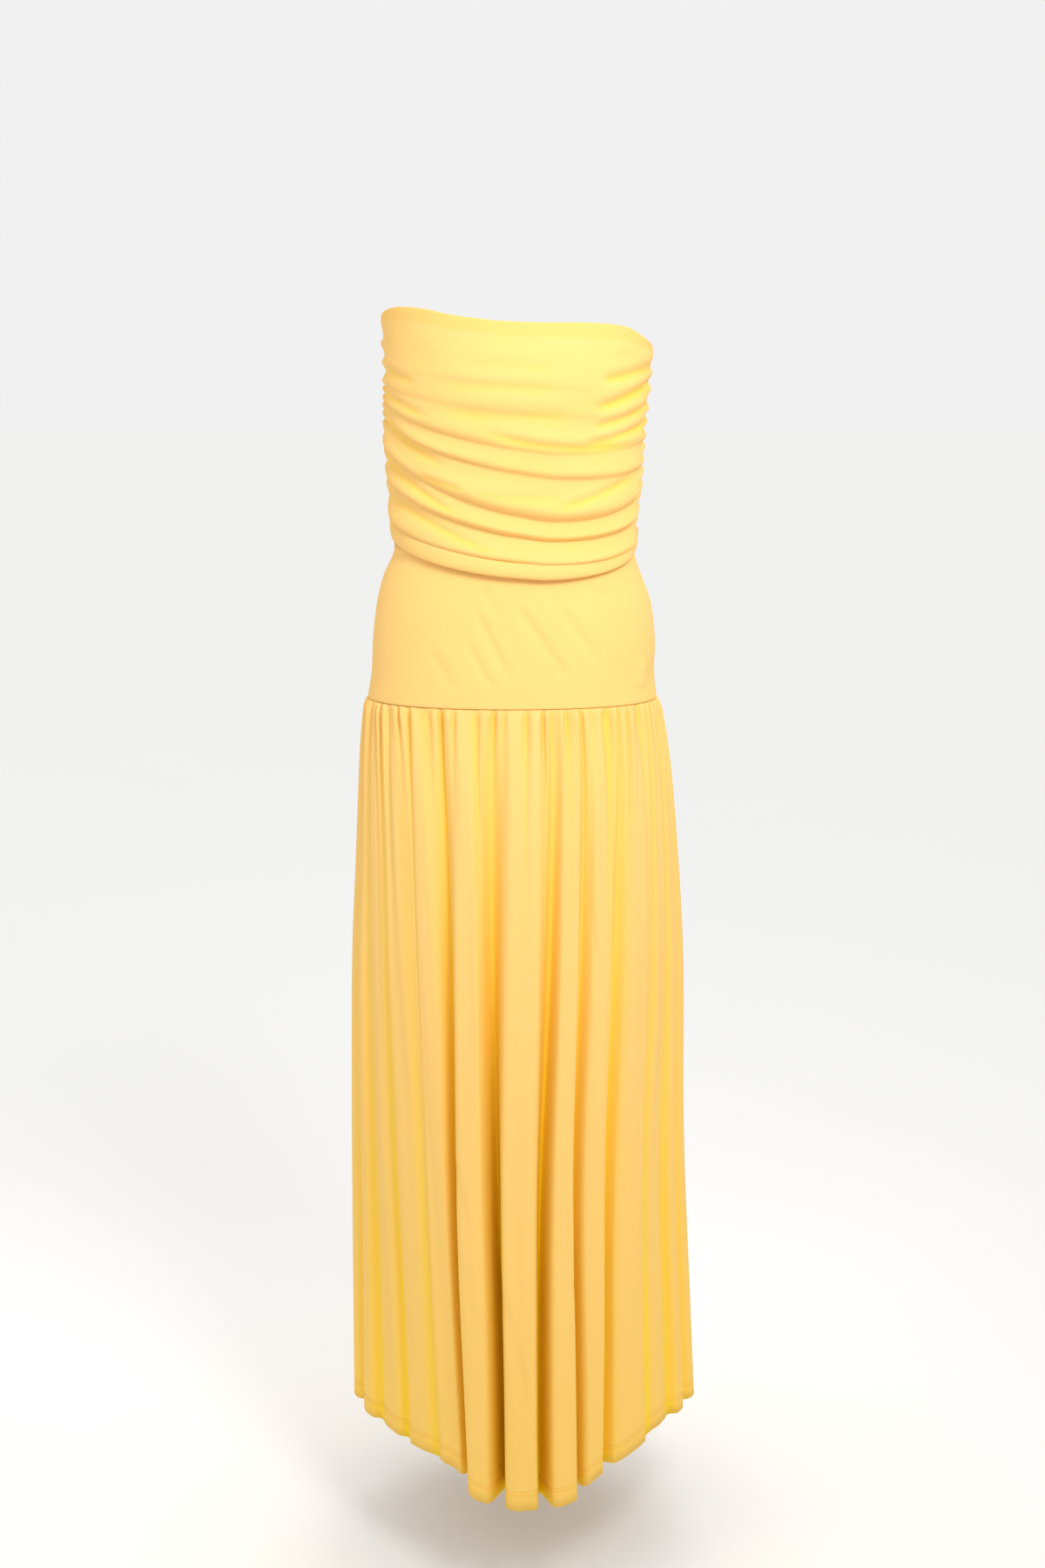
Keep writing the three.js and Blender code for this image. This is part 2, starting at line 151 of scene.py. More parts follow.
# Single creases, listed one by one: ends by millimetres across and up, the sag of the
# middle below the line between them, depth, and half width. A ridge has a negative depth.
BODICE_STROKES = [
    dict(x0=-60, z0=-46, x1=50, z1=-47, sag=1, depth=0.8, width=8),
    dict(x0=-90, z0=-64, x1=66, z1=-71, sag=1, depth=1.2, width=7),
    dict(x0=-90, z0=-92, x1=72, z1=-99, sag=3, depth=1.5, width=8),
    dict(x0=-40, z0=-114, x1=142, z1=-128, sag=11, depth=2.6, width=5),
    dict(x0=-106, z0=-161, x1=-52, z1=-177, sag=2, depth=1.8, width=4),
    dict(x0=36, z0=-199, x1=140, z1=-158, sag=6, depth=2.4, width=5),
    dict(x0=60, z0=-266, x1=140, z1=-240, sag=3, depth=2, width=4),
    dict(x0=88, z0=-62, x1=158, z1=-44, sag=3, depth=3, width=6),
    dict(x0=82, z0=-92, x1=158, z1=-58, sag=5, depth=3.8, width=6),
    dict(x0=78, z0=-112, x1=156, z1=-82, sag=5, depth=3.2, width=5),
    dict(x0=70, z0=-128, x1=156, z1=-101, sag=6, depth=3.4, width=5),
    dict(x0=98, z0=-22, x1=158, z1=-38, sag=-4, depth=-2, width=9),
    dict(x0=-156, z0=-40, x1=-104, z1=-64, sag=4, depth=1.8, width=5),
    dict(x0=-154, z0=-64, x1=-92, z1=-100, sag=5, depth=1.8, width=5),
    dict(x0=-152, z0=-88, x1=-70, z1=-154, sag=8, depth=2, width=5),
    dict(x0=-150, z0=-132, x1=-50, z1=-208, sag=10, depth=2.2, width=5),
    dict(x0=-146, z0=-178, x1=-10, z1=-247, sag=8, depth=2, width=5),
    dict(x0=-60, z0=-178, x1=70, z1=-184, sag=6, depth=1.2, width=6),
]
BODICE_BACK_STROKES = [
    dict(x0=-70, z0=-50, x1=50, z1=-44, sag=2, depth=1.2, width=7),
    dict(x0=-118, z0=-110, x1=-30, z1=-134, sag=5, depth=2, width=5),
    dict(x0=20, z0=-140, x1=120, z1=-108, sag=6, depth=2.2, width=5),
    dict(x0=-120, z0=-160, x1=-40, z1=-198, sag=6, depth=2, width=5),
    dict(x0=40, z0=-206, x1=124, z1=-176, sag=6, depth=2.2, width=5),
]

# ------------------------------------------------------------------ the yoke's drag lines

YOKE_FRONT_STROKES = [
    dict(x0=-7, z0=-292, x1=64, z1=-392, sag=-2, depth=1.9, width=6),
    dict(x0=-47, z0=-300, x1=-3, z1=-386, sag=-1, depth=1.6, width=5),
    dict(x0=-56, z0=-336, x1=-22, z1=-396, sag=-1, depth=1.3, width=5),
    dict(x0=33, z0=-290, x1=101, z1=-378, sag=-2, depth=1.7, width=6),
    dict(x0=79, z0=-284, x1=108, z1=-300, sag=0, depth=1, width=5),
    dict(x0=-37, z0=-280, x1=-17, z1=-312, sag=0, depth=1, width=5),
    dict(x0=-97, z0=-344, x1=-64, z1=-396, sag=-1, depth=1, width=6),
    dict(x0=92, z0=-342, x1=118, z1=-374, sag=0, depth=1, width=6),
    dict(x0=143, z0=-362, x1=138, z1=-398, sag=0, depth=-2.2, width=6),
    dict(x0=20, z0=-284, x1=86, z1=-372, sag=-2, depth=-0.9, width=8),
]
YOKE_BACK_STROKES = [
    dict(x0=-96, z0=-290, x1=-30, z1=-390, sag=-2, depth=1.5, width=6),
    dict(x0=-40, z0=-300, x1=10, z1=-392, sag=-2, depth=1.3, width=6),
    dict(x0=90, z0=-288, x1=36, z1=-380, sag=-2, depth=1.5, width=6),
    dict(x0=128, z0=-320, x1=86, z1=-396, sag=-1, depth=1.2, width=6),
]

# ------------------------------------------------------------------ the skirt's folds

# Valleys in degrees round from the panel's first side seam, at the hip and at the hem, how
# deep each is at the hem, how narrow it is (1 is as broad as its crests), how far the crest
# before it stands proud of the form, and how many gathers of the hip seam run into that fold.
FRONT_VALLEYS = [
    dict(hip=9, hem=12, depth=15, narrow=1, crest=0, gathers=2),
    dict(hip=19, hem=26, depth=17, narrow=1, crest=-6, gathers=2),
    dict(hip=29, hem=41, depth=20, narrow=1.2, crest=-14, gathers=2),
    dict(hip=40, hem=56, depth=14, narrow=1.3, crest=-12, gathers=2),
    dict(hip=63, hem=67, depth=35, narrow=2.2, crest=-8, gathers=3),
    dict(hip=84, hem=79, depth=44, narrow=2, crest=6, gathers=3),
    dict(hip=105, hem=99, depth=35, narrow=2.3, crest=8, gathers=4),
    dict(hip=115, hem=111, depth=28, narrow=2, crest=6, gathers=2),
    dict(hip=134, hem=122, depth=29, narrow=2, crest=-4, gathers=3),
    dict(hip=153, hem=142, depth=17, narrow=1.3, crest=-8, gathers=3),
    dict(hip=163, hem=156, depth=18, narrow=1.1, crest=-16, gathers=2),
    dict(hip=172, hem=169, depth=14, narrow=1, crest=-8, gathers=2),
]
BACK_VALLEYS = [
    dict(hip=9, hem=12, depth=15, narrow=1, crest=0, gathers=2),
    dict(hip=20, hem=25, depth=24, narrow=1.4, crest=-8, gathers=2),
    dict(hip=32, hem=39, depth=34, narrow=2.1, crest=4, gathers=2),
    dict(hip=47, hem=53, depth=36, narrow=1.8, crest=-10, gathers=3),
    dict(hip=66, hem=69, depth=26, narrow=1.2, crest=6, gathers=3),
    dict(hip=83, hem=84, depth=44, narrow=2.2, crest=-6, gathers=3),
    dict(hip=101, hem=98, depth=30, narrow=1.5, crest=8, gathers=3),
    dict(hip=118, hem=113, depth=40, narrow=2, crest=-4, gathers=3),
    dict(hip=136, hem=129, depth=27, narrow=1.3, crest=5, gathers=3),
    dict(hip=150, hem=143, depth=28, narrow=1.8, crest=-12, gathers=2),
    dict(hip=162, hem=156, depth=24, narrow=1.3, crest=4, gathers=2),
    dict(hip=172, hem=168, depth=15, narrow=1, crest=-8, gathers=2),
]
LAST_GATHERS = 2  # gathers between the last valley and the second side seam
SIDE_CREST = 0  # how far the crests at the side seams stand proud of the form
FULL_DEPTH_SHARE = 0.75  # how far down the skirt a valley reaches its full depth
DEPTH_POWER = 0.75  # below 1, the folds open soon after the hip seam
DRIFT_POWER = 0.5  # below 1, a valley drifts sideways mostly near the hip
CREST_BREADTH = 0.66  # how much broader a crest is than a valley
FOLD_SQUARENESS = 0.55  # how upright the sides of a fold are
GATHER_RISE = 4  # half height of the gathers below the hip seam
GATHER_PINCH = 0.4  # the share of it that is left in the seam itself
GATHER_SWELL = 12  # how far below the seam the pinch ends
GATHER_FADE = 66  # distance over which the gathers run out into the folds
LONG_GATHER = 170  # how much further down a few of the gathers run
GATHER_SHARPNESS = 1.6  # above 1, the dips between gathers are narrower than the gathers
CREST_RIPPLE = 1.4  # soft secondary ripple along the crests
RIPPLE_START = 120  # how far down it reaches its full height
SEAM_TUCK = [  # the skirt's edge goes up behind the yoke's
    dict(up=3, proud=-3.6),
    dict(up=1, proud=-3.5),
    dict(up=0, proud=-2.6),
]
SWAY = 0.55  # degrees by which a valley wanders from side to side on its way down
DEEP_FOLD = 36  # from this depth on, a fold has its full painted shade
GATHER_PAINTED_SHADE = 0.35  # share of that painted shade in the dips between gathers
HEM_PAINTED_SHADE = 0.22  # share of that painted shade all over the cloth at the hem, fading upwards

# Fine wrinkles on the skirt's front, laid as the bodice's single creases are.
SKIRT_STROKES = [
    dict(x0=84, z0=-620, x1=93, z1=-735, sag=0, depth=1.6, width=4),
    dict(x0=4, z0=-850, x1=12, z1=-905, sag=0, depth=1.3, width=4),
    dict(x0=-34, z0=-960, x1=26, z1=-1200, sag=0, depth=1.6, width=5),
    dict(x0=116, z0=-800, x1=149, z1=-872, sag=0, depth=1.6, width=5),
    dict(x0=132, z0=-780, x1=140, z1=-1090, sag=0, depth=-2, width=9),
    dict(x0=-72, z0=-880, x1=-48, z1=-980, sag=0, depth=1.4, width=4),
    dict(x0=52, z0=-930, x1=66, z1=-1060, sag=0, depth=1.3, width=4),
]
HEM_TURNING = 20  # depth of the turned-up hem
HEM_LINES = (16.5, 20.5)  # the twin needle's two lines, above the hem
LINE_SINK = 0.5  # how far the cloth sinks in along a stitched line
LINE_REACH = 1.1  # and over what distance
SEAM_SINK = 0.6  # how far it sinks in at a seam
SEAM_REACH = 2  # and over what distance
SEAM_GAP = 0.3  # what parts two pieces along their seam
STITCH_LIFT = 0.15  # how far the thread lies off the cloth
SKIRT_LENGTH = 850  # about, from the hip seam to the hem
BODICE_ROUND = 400  # about, from side seam to side seam
YOKE_ROUND = 450

SIDES = dict(
    front=dict(start=0, y_side=-1, valleys=FRONT_VALLEYS, roll="front_roll", seed=1.0),
    back=dict(start=1, y_side=1, valleys=BACK_VALLEYS, roll="back_roll", seed=2.7),
)
BODICE_STROKES_OF = dict(front=BODICE_STROKES, back=BODICE_BACK_STROKES)
YOKE_STROKES_OF = dict(front=YOKE_FRONT_STROKES, back=YOKE_BACK_STROKES)
SKIRT_STROKES_OF = dict(front=SKIRT_STROKES, back=[])

# How finely each piece is made.
BODICE_COLUMNS = 200
TOP_TURNING_ROWS = 6
TOP_ROUNDING_STEPS = 6
FLAT_CREASE_ROWS = 14
GATHERED_CREASE_ROWS = 19
BLOUSE_ROWS = 17
UNDERSIDE_ROWS = 13  # of them and the last row, those that no fine crease reaches
EDGE_FADE_ROWS = 6
YOKE_COLUMNS = 170
YOKE_ROWS = 74
YOKE_ROW_POWER = 1.25  # above 1, rows crowd together at the hip seam, where the cloth turns in
SKIRT_COLUMNS_PER_GATHER = 14
SKIRT_ROWS = 80
SKIRT_ROW_POWER = 1.45  # above 1, rows crowd together below the hip seam
NEAR_HEM_ROWS = 10  # more rows across the hem's stitched lines
STITCHED_BAND = 2.5  # and how far past them

# ------------------------------------------------------------------ number helpers


def mix(a, b, share):
    return a + (b - a) * share


def smooth(value):
    value = np.clip(value, 0, 1)
    return value * value * (3 - 2 * value)


def along(table, key, column, place):
    """A column of a table at any place along its key column, as a smooth curve."""
    keys = np.array([row[key] for row in table], float)
    values = np.array([row[column] for row in table], float)
    if keys[0] > keys[-1]:
        keys, values = keys[::-1], values[::-1]
    slopes = np.empty_like(values)
    slopes[1:-1] = (values[2:] - values[:-2]) / (keys[2:] - keys[:-2])
    slopes[0] = (values[1] - values[0]) / (keys[1] - keys[0])
    slopes[-1] = (values[-1] - values[-2]) / (keys[-1] - keys[-2])
    i = np.clip(np.searchsorted(keys, place, side="right") - 1, 0, len(keys) - 2)
    span = keys[i + 1] - keys[i]
    t = np.clip((place - keys[i]) / span, 0, 1)
    return (
        (2 * t**3 - 3 * t**2 + 1) * values[i]
        + (t**3 - 2 * t**2 + t) * span * slopes[i]
        + (3 * t**2 - 2 * t**3) * values[i + 1]
        + (t**3 - t**2) * span * slopes[i + 1]
    )


def on_form(z, turn, proud):
    """Points on the worn form, moved out by proud, as an array of x, y, z in millimetres."""
    z, turn, proud = np.broadcast_arrays(np.asarray(z, float), turn, proud)
    across, forward = np.cos(np.pi * turn), np.sin(np.pi * turn)
    half = along(FORM, "z", "half", z)
    depth = np.where(forward > 0, along(FORM, "z", "front", z), along(FORM, "z", "back", z))
    place = 2 / along(FORM, "z", "square", z)

    def shaped(value, power):
        return np.sign(value) * np.abs(value) ** power

    out_x = -shaped(across, 2 - place) / half
    out_y = -shaped(forward, 2 - place) / depth
    length = np.hypot(out_x, out_y)
    x = along(FORM, "z", "middle", z) - half * shaped(across, place) + proud * out_x / length
    y = -depth * shaped(forward, place) + proud * out_y / length
    return np.stack([x, y, z], axis=-1)


def round_value(value, turn):
    """A value that differs at the front, the back and the sides, at a turn between them."""
    middle = np.where(turn < 1, value["front"], value["back"])
    return mix(value["side"], middle, np.sin(np.pi * turn) ** 2)


def sagging(line, turn):
    """The level of a line that sags between the side seams."""
    is_front = turn <= 1
    share = np.clip(np.where(is_front, turn, 2 - turn), 0, 1)
    skewed = np.where(is_front, share ** (math.log(0.5) / math.log(LOWEST_SHARE)), share)
    sag = 1 - np.abs(2 * skewed - 1) ** SAG_POWER
    low = np.where(is_front, line["front"], line["back"])
    fall = low - (line["left"] + line["right"]) / 2
    return mix(line["left"], line["right"], share) + fall * sag


def uneven(a, b, seed):
    """A smooth unevenness between about -1 and 1 over two coordinates, the same each run."""
    return (
        np.sin(1.7 * a + 0.9 * b + seed)
        + 0.7 * np.sin(-1.1 * a + 2.3 * b + 2.1 * seed)
        + 0.5 * np.sin(3.1 * a + 1.9 * b + 3.7 * seed)
    ) / 2.2


def strokes(table, x, z):
    """How far listed creases push the cloth out at points across and up the piece."""
    out = np.zeros_like(x)
    for s in table:
        dx, dz = s["x1"] - s["x0"], s["z1"] - s["z0"]
        length = math.hypot(dx, dz)
        run = ((x - s["x0"]) * dx + (z - s["z0"]) * dz) / length**2
        bow = s["sag"] * 4 * np.clip(run, 0, 1) * (1 - np.clip(run, 0, 1))
        aside = ((x - s["x0"]) * dz - (z - s["z0"]) * dx) / length - bow * np.sign(dx or 1)
        taper = smooth(run / STROKE_TAPER) * smooth((1 - run) / STROKE_TAPER)
        near = np.exp(-((aside / s["width"]) ** 2))
        lip = np.exp(-(((aside + 1.7 * s["width"]) / (1.3 * s["width"])) ** 2))
        out += s["depth"] * taper * (LIP_HEIGHT * lip - near)
    return out


def seam_sink(distance):
    """How far the cloth sinks in at a distance from a seam."""
    return -SEAM_SINK * np.exp(-((distance / SEAM_REACH) ** 2))


# ------------------------------------------------------------------ cloth to mesh


def cloth_mesh(name, grid, marks, thickness, material):
    """A closed thin shell from a grid of points on the cloth's outside, rows running down.

    marks are values over the grid that the material reads: doubled is where the cloth lies
    double, and the fold mark is painted shade, by how deep the cloth lies in a fold.
    """
    rows, columns = grid.shape[:2]
    index = np.arange(rows * columns).reshape(rows, columns)
    quads = np.stack([index[:-1, :-1], index[1:, :-1], index[1:, 1:], index[:-1, 1:]], axis=-1)
    mesh = bpy.data.meshes.new(name)
    mesh.from_pydata((grid.reshape(-1, 3) * MM).tolist(), [], quads.reshape(-1, 4).tolist())

    wide = np.linalg.norm(np.diff(grid, axis=1), axis=2).mean(axis=0)
    tall = np.linalg.norm(np.diff(grid, axis=0), axis=2).mean(axis=1)
    u = np.concatenate([[0], np.cumsum(wide)]) * MM
    v = np.concatenate([[0], np.cumsum(tall)]) * -MM
    flat = np.stack(np.broadcast_arrays(u[None, :], v[:, None]), axis=-1).reshape(-1, 2)
    corners = np.empty(len(mesh.loops), np.int32)
    mesh.loops.foreach_get("vertex_index", corners)
    mesh.uv_layers.new(name="Cloth").data.foreach_set("uv", flat[corners].ravel())
    for mark, values in marks.items():
        layer = mesh.attributes.new(mark, "FLOAT", "POINT")
        spread = np.broadcast_to(values, (rows, columns)).astype(np.float32)
        layer.data.foreach_set("value", spread.ravel())
    mesh.shade_smooth()
    mesh.materials.append(material)

    piece = bpy.data.objects.new(name, mesh)
    bpy.context.scene.collection.objects.link(piece)
    wall = piece.modifiers.new("Wall", "SOLIDIFY")
    wall.thickness = thickness
    wall.offset = -1
    return settle(piece)


def settle(piece):
    """Turns a piece and its modifiers into a plain mesh."""
    depsgraph = bpy.context.evaluated_depsgraph_get()
    mesh = bpy.data.meshes.new_from_object(piece.evaluated_get(depsgraph))
    piece.modifiers.clear()
    piece.data = mesh
    return piece


def part_side_seams(grid, y_side):
    """Keeps a half's two side edges on its own side of the seams."""
    grid[:, 0, 1] = grid[:, -1, 1] = y_side * SEAM_GAP / 2
    return grid


# ------------------------------------------------------------------ the three bands


def bodice_grid(side):
    """Points of a bodice half, from its turned-in top edge to its end under the blousing."""
    info = SIDES[side]
    share = np.linspace(0, 1, BODICE_COLUMNS + 1)
    turn = info["start"] + share
    from_side = np.minimum(share, 1 - share)
    clear = smooth(from_side / SIDE_GATHER_REACH)
    top = along(TOP_EDGE, "at", "z", 180 * turn)
    rows, doubled = [], []

    def add(level, proud, double=0.0):
        rows.append((level, proud))
        doubled.append(double)

    for down in np.linspace(TOP_TURNING, TOP_ROUNDING, TOP_TURNING_ROWS):
        add(top - down, np.full_like(turn, -TOP_TURNING_GAP), 1.0)
    for angle in np.linspace(0, np.pi, TOP_ROUNDING_STEPS + 1)[1:-1]:
        round_level = top - TOP_ROUNDING * (1 - np.sin(angle))
        add(round_level, TOP_ROUNDING * (-1 - np.cos(angle)) + 0 * turn, 1.0)
    first = len(rows) + 1

    upper = dict(level=top - TOP_ROUNDING, hang=0, tuck=0)
    add(upper["level"], 0 * turn, 1.0)
    for number, (levels, crease) in enumerate(zip(CREASE_LEVELS, CREASE_ROLLS)):
        level = sagging(levels, turn)
        steps = FLAT_CREASE_ROWS if crease["waves"] == 1 else GATHERED_CREASE_ROWS
        rise = SIDE_GATHER * min(1, 0.5 + number)
        strength = 1 + 0.3 * uneven(6 * share, 3.0 * number, info["seed"])
        for step in range(1, steps + 1):
            part = step / steps
            down = mix(part, part**0.85, clear)
            rolled = np.sin(np.pi * part**ROLL_LEAN) ** ROLL_FULLNESS
            rolled *= crease[info["roll"]] * strength
            tucked = mix(upper["tuck"], crease["tuck"], smooth((part - 0.7) / 0.3))
            wave = np.sin(2 * np.pi * crease["waves"] * part + 0.8 * number)
            hang = mix(upper["hang"], crease["hang"], down)
            gather = rise * wave * (1 - clear) * (1 - GATHERS_HUNG * hang)
            proud = hang * round_value(BLOUSE_PROUD, turn) + gather + (rolled - tucked) * clear
            z = mix(upper["level"], level, down)
            add(z, proud, float(number == 0 and top.mean() - z.mean() < TOP_TURNING))
        upper = dict(level=level, hang=crease["hang"], tuck=crease["tuck"])

    last = len(rows) + BLOUSE_ROWS - UNDERSIDE_ROWS
    for step in np.linspace(0, len(TURN_UNDER) - 1, BLOUSE_ROWS):
        up = along(TURN_UNDER, "step", "up", step)
        proud = along(TURN_UNDER, "step", "proud", step)
        add(sagging(BLOUSE_LEVEL, turn) + up, proud * round_value(BLOUSE_PROUD, turn))
    add(np.full_like(turn, WAIST_LEVEL), np.full_like(turn, SEAM_GAP))

    z = np.array([row[0] for row in rows])
    proud = np.array([row[1] for row in rows])
    # Fine creases lie only on the cloth's outside, and fade out towards its two ends.
    number = np.arange(len(rows))
    on_outside = smooth(np.minimum(number - first, last - 1 - number) / EDGE_FADE_ROWS)
    grid = on_form(z, turn[None, :], proud)
    extra = strokes(BODICE_STROKES_OF[side], grid[..., 0], grid[..., 2])
    extra += BODICE_WRINKLE * uneven(14 * share[None, :], z / 17, info["seed"])
    extra *= smooth(from_side / (0.5 * SIDE_GATHER_REACH))[None, :]
    extra += seam_sink(from_side[None, :] * BODICE_ROUND)
    grid = on_form(z, turn[None, :], proud + extra * on_outside[:, None])
    # Painted shade in the fine creases, by how deep they sink.
    fold_depth_and_shade = np.clip(-extra / 8, 0, 0.4) * on_outside[:, None]
    marks = dict(doubled=np.array(doubled)[:, None], fold_depth_and_shade=fold_depth_and_shade)
    return part_side_seams(grid, info["y_side"]), marks


def yoke_grid(side):
    """Points of a yoke half, flat but for its drag lines."""
    info = SIDES[side]
    share = np.linspace(0, 1, YOKE_COLUMNS + 1)
    turn = info["start"] + share
    down = 1 - (1 - np.linspace(0, 1, YOKE_ROWS + 1)) ** YOKE_ROW_POWER
    z = mix(WAIST_LEVEL, HIP_LEVEL + SEAM_GAP / 2, down)[:, None] + 0 * turn[None, :]
    grid = on_form(z, turn[None, :], 0.0)
    proud = strokes(YOKE_STROKES_OF[side], grid[..., 0], grid[..., 2])
    proud += 0.4 * uneven(7 * share[None, :], z / 40, info["seed"])
    proud *= smooth((down / 0.2))[:, None]
    from_side = np.minimum(share, 1 - share)[None, :]
    proud += seam_sink(z - HIP_LEVEL) + seam_sink(from_side * YOKE_ROUND)
    marks = dict(doubled=0.0, fold_depth_and_shade=0.0)
    return part_side_seams(on_form(z, turn[None, :], proud), info["y_side"]), marks


def skirt_columns(valleys):
    """For each column of a panel: its gather, its fold's two valleys, and its phase there."""
    first, last = valleys[0], valleys[-1]
    before = dict(first, hip=-first["hip"], hem=-first["hem"])
    after = dict(last, hip=360 - last["hip"], hem=360 - last["hem"])
    after.update(crest=SIDE_CREST, gathers=LAST_GATHERS)
    bounds = [before, *valleys, after]
    names = ("hip", "hem", "depth", "narrow")
    columns, gather = [], 0
    for i, (start, end) in enumerate(zip(bounds[:-1], bounds[1:])):
        phases = (0.5 if i == 0 else 0.0, 0.5 if i == len(valleys) else 1.0)
        count = end["gathers"] * SKIRT_COLUMNS_PER_GATHER
        for c in range(0 if i == 0 else 1, count + 1):
            part = c / count
            ends = [start[n] for n in names] + [end[n] for n in names]
            place = gather + part * end["gathers"]
            columns.append([place, mix(*phases, part), end["crest"], i, *ends])
        gather += end["gathers"]
    return np.array(columns, float).T


def skirt_hip_turn(side):
    """How far round its panel each column of the skirt lies at the hip seam."""
    _, phase, _, _, hip0, _, _, _, hip1, *_ = skirt_columns(SIDES[side]["valleys"])
    return mix(hip0, hip1, phase) / 180


def skirt_surface(side, share):
    """Points of a skirt half in rows at shares of its length.

    With them come their millimetres above the hem, and painted shade: how deep each lies in
    a fold, with some in the dips between gathers and more towards the hem.
    """
    info = SIDES[side]
    gather, phase, crest, fold, *ends = skirt_columns(info["valleys"])
    hip0, hem0, depth0, narrow0, hip1, hem1, depth1, narrow1 = ends
    share = share[:, None]
    drift = share**DRIFT_POWER
    opened = np.clip(share / FULL_DEPTH_SHARE, 0, 1) ** DEPTH_POWER
    angle = 2 * np.pi * phase
    squarer = FOLD_SQUARENESS * np.sin(2 * angle) / (4 * np.pi)
    broader = CREST_BREADTH * np.sin(angle) / (2 * np.pi)
    across = phase + opened * (squarer - broader)
    # What differs from front to back fades out here, so that their edges meet.
    inside = smooth(np.minimum(gather, gather[-1] - gather) / 2)

    def valley_turn(hip, hem, number):
        wander = SWAY * np.sin(7 * share + 2.4 * number + info["seed"]) * share * inside
        return mix(hip, hem, drift) + wander

    near, far = valley_turn(hip0, hem0, fold), valley_turn(hip1, hem1, fold + 1)
    turn = info["start"] + mix(near, far, across) / 180

    top = HIP_LEVEL - SEAM_GAP / 2
    hem = along(HEM_EDGE, "at", "z", 180 * turn)
    z = mix(top, hem, share)
    fallen = top - z
    narrow = mix(narrow0, narrow1, smooth(phase))
    depth = mix(depth0, depth1, smooth(phase))
    dip = (1 + np.cos(angle)) / 2
    valley = dip**narrow
    fold_depth_and_shade = opened * (crest * (1 - valley) - depth * valley)

    # The gathers: each its own place, height and length, with narrow dips between them.
    wander = 0.18 * np.sin(2.1 * gather + info["seed"]) + 0.08 * np.sin(4.7 * gather)
    gather_angle = 2 * np.pi * (gather + inside * wander)
    wave = 1 - 2 * ((1 + np.cos(gather_angle)) / 2) ** GATHER_SHARPNESS
    own_rise = 1 + 0.4 * inside * np.sin(2.3 * gather + info["seed"])
    own_fade = GATHER_FADE * (1 + 0.6 * inside * np.sin(1.9 * gather + 2 * info["seed"]))
    own_fade += LONG_GATHER * inside * np.clip(np.sin(2.9 * gather + info["seed"]), 0, 1) ** 6
    swell = mix(GATHER_PINCH, 1, smooth(fallen / GATHER_SWELL))
    gathered = GATHER_RISE * own_rise * wave * swell * np.exp(-fallen / own_fade)

    ripple = uneven(2.2 * gather, z / 150, info["seed"])
    ripple += 0.6 * uneven(4.6 * gather, z / 240, 3 * info["seed"])
    ripple *= CREST_RIPPLE * inside * (1 - valley) ** 2 * smooth(fallen / RIPPLE_START)
    above_hem = z - hem
    lines = sum(np.exp(-(((above_hem - line) / LINE_REACH) ** 2)) for line in HEM_LINES)
    proud = fold_depth_and_shade + gathered + ripple - LINE_SINK * lines + seam_sink(fallen)
    grid = on_form(z, turn, proud)
    if SKIRT_STROKES_OF[side]:
        proud = proud + strokes(SKIRT_STROKES_OF[side], grid[..., 0], grid[..., 2])
        grid = on_form(z, turn, proud)
    # Painted shade: strongest deep in the valleys, some in the dips between gathers, and more all
    # over towards the hem.
    painted_fold_shade = opened * dip ** (0.9 * narrow) * np.clip(depth / DEEP_FOLD, 0, 1)
    painted_fold_shade += GATHER_PAINTED_SHADE * np.clip(-gathered / GATHER_RISE, 0, 1) + HEM_PAINTED_SHADE * share**2
    return grid, above_hem, np.clip(painted_fold_shade, 0, 1)


def skirt_grid(side):
    """Points of a skirt half, from the edge tucked behind the yoke to the hem."""
    share = np.linspace(0, 1, SKIRT_ROWS + 1)[1:] ** SKIRT_ROW_POWER
    past = STITCHED_BAND
    near_hem = np.linspace(HEM_LINES[1] + past, HEM_LINES[0] - past, NEAR_HEM_ROWS)
    near_hem = [HEM_TURNING + 4, *near_hem]
    share = np.sort(np.concatenate([share, 1 - np.array(near_hem) / SKIRT_LENGTH]))
    grid, above_hem, painted_fold_shade = skirt_surface(side, share)
    levels = HIP_LEVEL - SEAM_GAP / 2 + np.array([row["up"] for row in SEAM_TUCK])
    proud = np.array([row["proud"] for row in SEAM_TUCK])
    seam_turn = SIDES[side]["start"] + skirt_hip_turn(side)
    tucked = on_form(levels[:, None], seam_turn[None, :], proud[:, None])
    grid = part_side_seams(np.concatenate([tucked, grid]), SIDES[side]["y_side"])
    unfolded = np.zeros((len(SEAM_TUCK), 1))
    doubled = smooth((HEM_TURNING + 1 - above_hem) / 2)
    # The fold mark is painted shade, and none is painted on the edge tucked behind the yoke.
    marks = dict(
        doubled=np.concatenate([unfolded + 0 * doubled[:1], doubled]),
        fold_depth_and_shade=np.concatenate([unfolded + 0 * painted_fold_shade[:1], painted_fold_shade]),
    )
    return grid, marks


# ------------------------------------------------------------------ stitches


